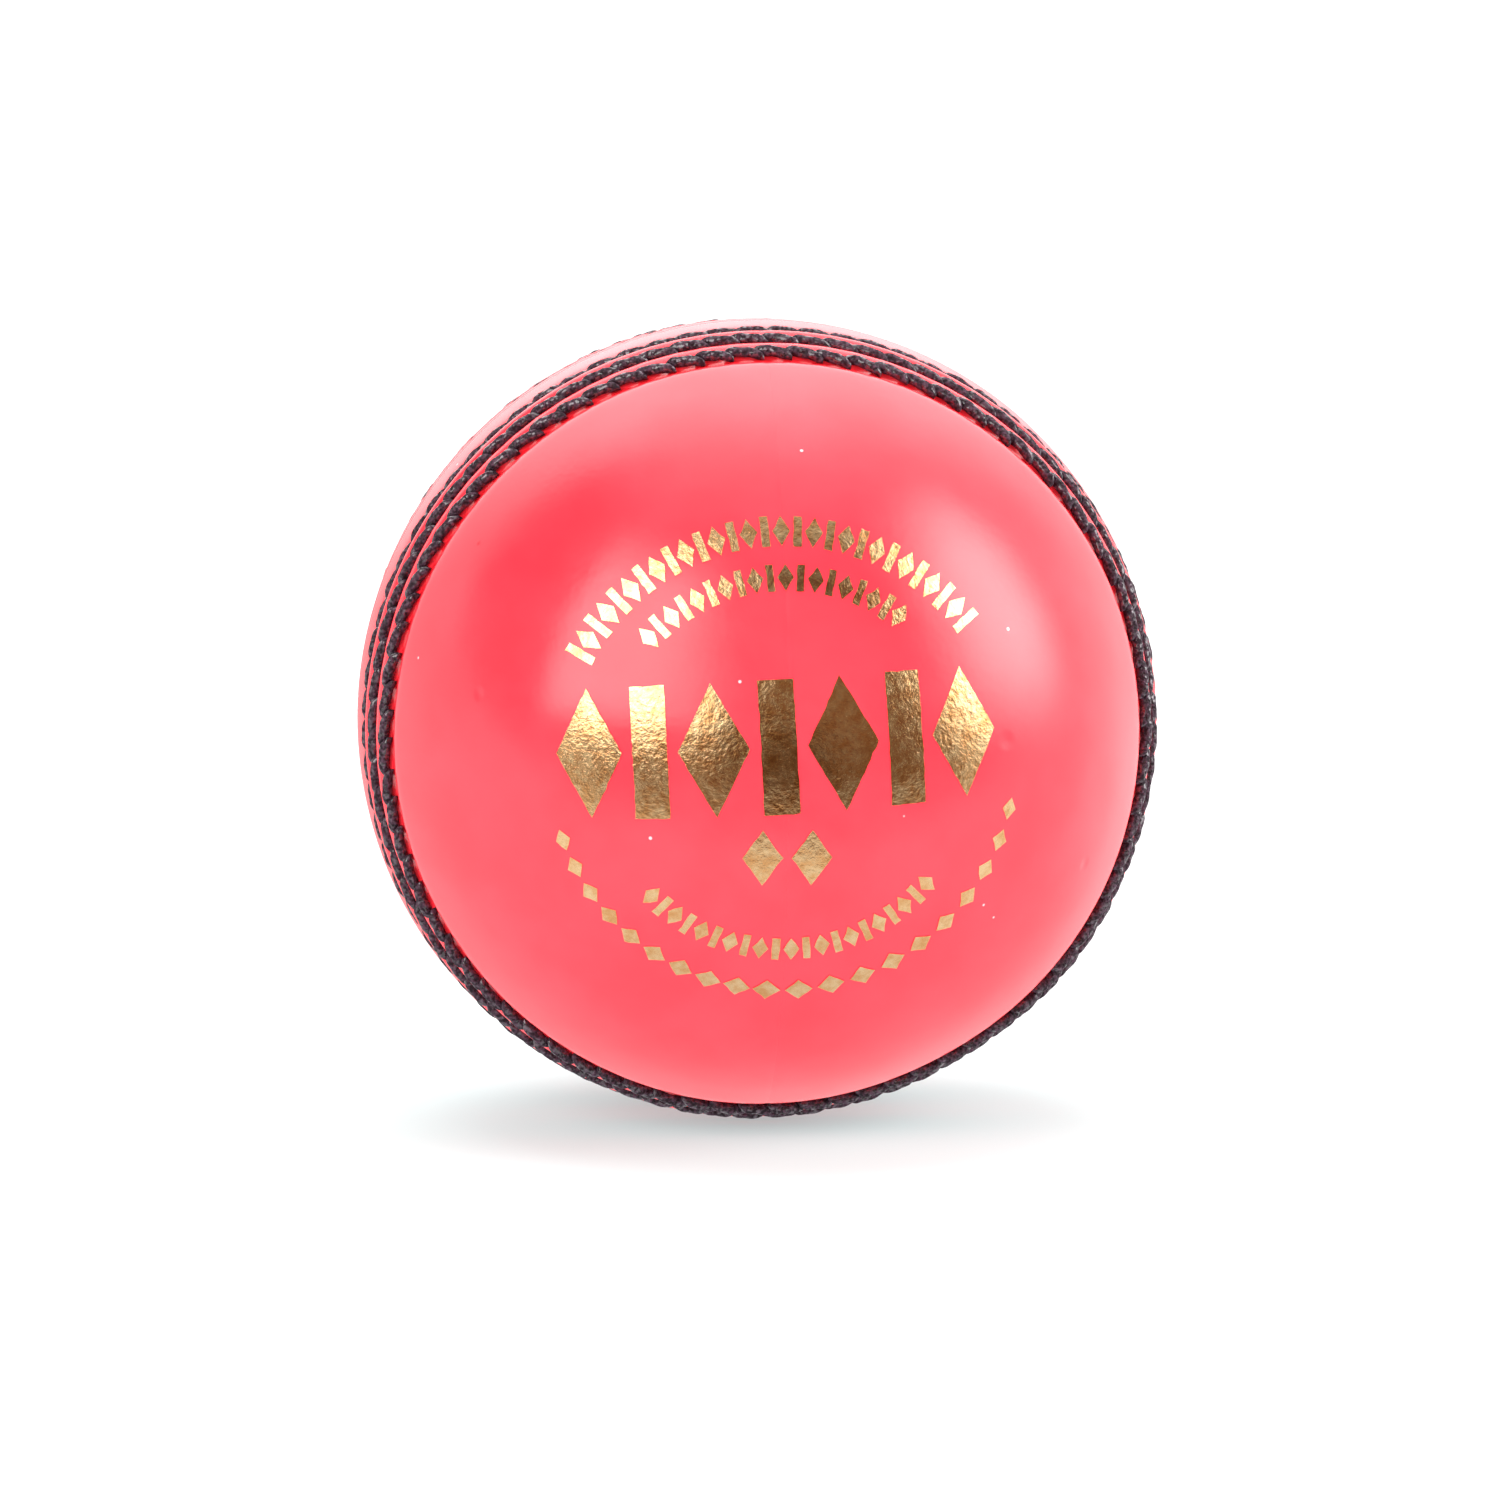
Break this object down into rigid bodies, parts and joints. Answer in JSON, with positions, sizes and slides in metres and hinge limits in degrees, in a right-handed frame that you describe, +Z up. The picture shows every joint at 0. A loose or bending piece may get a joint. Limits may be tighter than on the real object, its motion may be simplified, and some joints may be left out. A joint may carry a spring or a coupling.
{
  "type": "cricket ball",
  "caption": "Hand-stitched leather ball with a wound cork core, a proud thread seam round its equator and a plain foil stamp, for bat-and-ball play.",
  "frame": {"origin": "the ball's centre", "axes": "the seam lies in the XZ plane, so +Y is the seam's axis; the stamped cup faces -Y; +Z is up with the stamp upright"},
  "size_m": [0.0726, 0.0721, 0.0726],
  "materials": {
    "cover_leather": "lacquered and polished, coral pink",
    "seam_thread": "waxed, dull black",
    "foil": "hot-stamped gold foil, slightly crinkled",
    "lining_leather": "undyed, rough",
    "hidden_thread": "waxed linen",
    "cork": "bare cork",
    "twine": "worsted wool, wound tight"
  },
  "bodies": {
    "root": {"cork_nucleus": "cork", "inner_twine_winding": "twine", "inner_cork_strips": "cork", "middle_twine_winding": "twine", "outer_cork_strips": "cork", "outer_twine_winding": "twine", "front_lining_strip": "lining_leather", "back_lining_strip": "lining_leather", "front_quarter_stitching": "hidden_thread", "back_quarter_stitching": "hidden_thread", "front_left_quarter": "cover_leather", "front_right_quarter": "cover_leather", "back_upper_quarter": "cover_leather", "back_lower_quarter": "cover_leather", "closing_thread": "seam_thread", "middle_thread": "seam_thread", "outer_thread": "seam_thread", "stamp_upper_arcs": "foil", "stamp_centre_band": "foil", "stamp_lower_arcs": "foil"}
  },
  "joints": []
}
